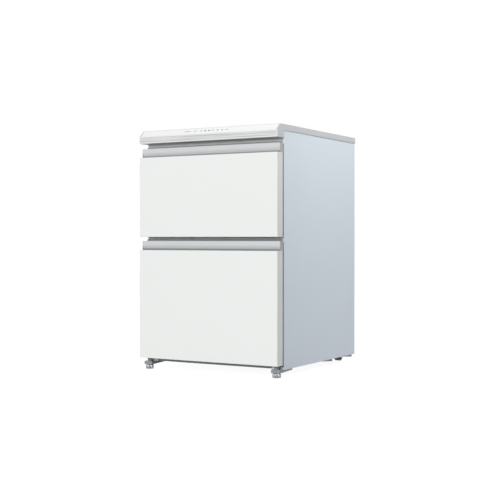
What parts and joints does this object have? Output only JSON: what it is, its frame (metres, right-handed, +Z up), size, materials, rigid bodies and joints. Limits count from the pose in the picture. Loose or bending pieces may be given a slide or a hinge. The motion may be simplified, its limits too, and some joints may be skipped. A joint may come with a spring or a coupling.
{
  "type": "drawer freezer",
  "caption": "Free-standing drawer freezer: steel cabinet, sliding drawers with recessed grips on telescopic runners, sloped control strip, levelling feet and rear rollers.",
  "frame": {"origin": "on the floor under the middle of the freezer's box", "axes": "+X to the right seen from the front, +Y to the back, +Z up"},
  "size_m": [0.48, 0.54, 0.73],
  "materials": {
    "cabinet_paint": "satin white powder coat",
    "front_paint": "gloss white paint",
    "galvanised_sheet": "zinc-coated sheet",
    "zinc_steel": "zinc-plated steel",
    "bracket_steel": "grey painted steel",
    "liner_plastic": "moulded white plastic",
    "bin_plastic": "frosted plastic",
    "grip_plastic": "light grey plastic",
    "cover_plastic": "fine-grained white plastic",
    "panel_plastic": "gloss white plastic",
    "trim_plastic": "silver-grey plastic",
    "dark_plastic": "black plastic",
    "roller_plastic": "grey nylon",
    "board": "circuit board",
    "foam": "rigid insulating foam",
    "seal": "soft grey seal",
    "mount_rubber": "black rubber",
    "compressor_paint": "black paint",
    "bare_aluminium": "mill finish"
  },
  "bodies": {
    "cabinet": {"outer_shell": "cabinet_paint", "rear_panel": "galvanised_sheet", "machine_cover": "galvanised_sheet", "mains_gland": "dark_plastic", "base_panel": "galvanised_sheet", "base_tray": "galvanised_sheet", "roller_axles": "zinc_steel", "insulation": "foam", "upper_liner": "liner_plastic", "lower_liner": "liner_plastic", "front_crossbar": "cabinet_paint", "top_cover": "cover_plastic", "housing_floor": "cover_plastic", "control_panel": "panel_plastic", "front_trim": "trim_plastic", "control_board": "board", "foot_brackets": "bracket_steel", "upper_outer_rails": "zinc_steel", "lower_outer_rails": "zinc_steel", "evaporator_cover": "liner_plastic", "evaporator_coil": "bare_aluminium", "evaporator_caps": "bare_aluminium", "evaporator_fins": "bare_aluminium", "defrost_heater": "zinc_steel", "drain_trough": "bare_aluminium", "drain_tube": "dark_plastic", "fan_shroud": "dark_plastic", "fan_motor": "galvanised_sheet", "compressor": "compressor_paint", "compressor_mounts": "mount_rubber", "terminal_cover": "dark_plastic", "drip_tray": "dark_plastic"},
    "upper_drawer": {"upper_front_panel": "front_paint", "upper_grip": "grip_plastic", "upper_front_core": "foam", "upper_inner_panel": "liner_plastic", "upper_gasket": "seal", "upper_arms": "zinc_steel", "upper_inner_rails": "zinc_steel", "upper_bin": "bin_plastic"},
    "lower_drawer": {"lower_front_panel": "front_paint", "lower_grip": "grip_plastic", "lower_front_core": "foam", "lower_inner_panel": "liner_plastic", "lower_gasket": "seal", "lower_arms": "zinc_steel", "lower_inner_rails": "zinc_steel", "lower_bin": "bin_plastic"},
    "upper_slides": {"upper_middle_rails": "zinc_steel"},
    "lower_slides": {"lower_middle_rails": "zinc_steel"},
    "fan": {"fan_rotor": "dark_plastic"},
    "left_foot": {"left_foot": "zinc_steel"},
    "right_foot": {"right_foot": "zinc_steel"},
    "left_roller": {"left_roller": "roller_plastic"},
    "right_roller": {"right_roller": "roller_plastic"}
  },
  "joints": [
    {"name": "upper_drawer_slide", "type": "slide", "parent": "cabinet", "child": "upper_drawer", "axis": [0, -1, 0], "range_m": [0, 0.335]},
    {"name": "upper_runner_slide", "type": "slide", "parent": "cabinet", "child": "upper_slides", "axis": [0, -1, 0], "range_m": [0, 0.1675]},
    {"name": "lower_drawer_slide", "type": "slide", "parent": "cabinet", "child": "lower_drawer", "axis": [0, -1, 0], "range_m": [0, 0.37]},
    {"name": "lower_runner_slide", "type": "slide", "parent": "cabinet", "child": "lower_slides", "axis": [0, -1, 0], "range_m": [0, 0.185]},
    {"name": "fan_spin", "type": "hinge", "parent": "cabinet", "child": "fan", "pos_m": [0, 0.165, 0.614], "axis": [0, 1, 0], "continuous": true},
    {"name": "left_foot_turn", "type": "hinge", "parent": "cabinet", "child": "left_foot", "pos_m": [-0.222, -0.24, 0], "axis": [0, 0, 1], "continuous": true},
    {"name": "left_roller_spin", "type": "hinge", "parent": "cabinet", "child": "left_roller", "pos_m": [-0.19, 0.244, 0.01], "axis": [1, 0, 0], "continuous": true},
    {"name": "right_foot_turn", "type": "hinge", "parent": "cabinet", "child": "right_foot", "pos_m": [0.222, -0.24, 0], "axis": [0, 0, 1], "continuous": true},
    {"name": "right_roller_spin", "type": "hinge", "parent": "cabinet", "child": "right_roller", "pos_m": [0.19, 0.244, 0.01], "axis": [1, 0, 0], "continuous": true}
  ],
  "couplings": [
    {"joint": "upper_runner_slide", "follows": "upper_drawer_slide", "ratio": 0.5},
    {"joint": "lower_runner_slide", "follows": "lower_drawer_slide", "ratio": 0.5}
  ]
}
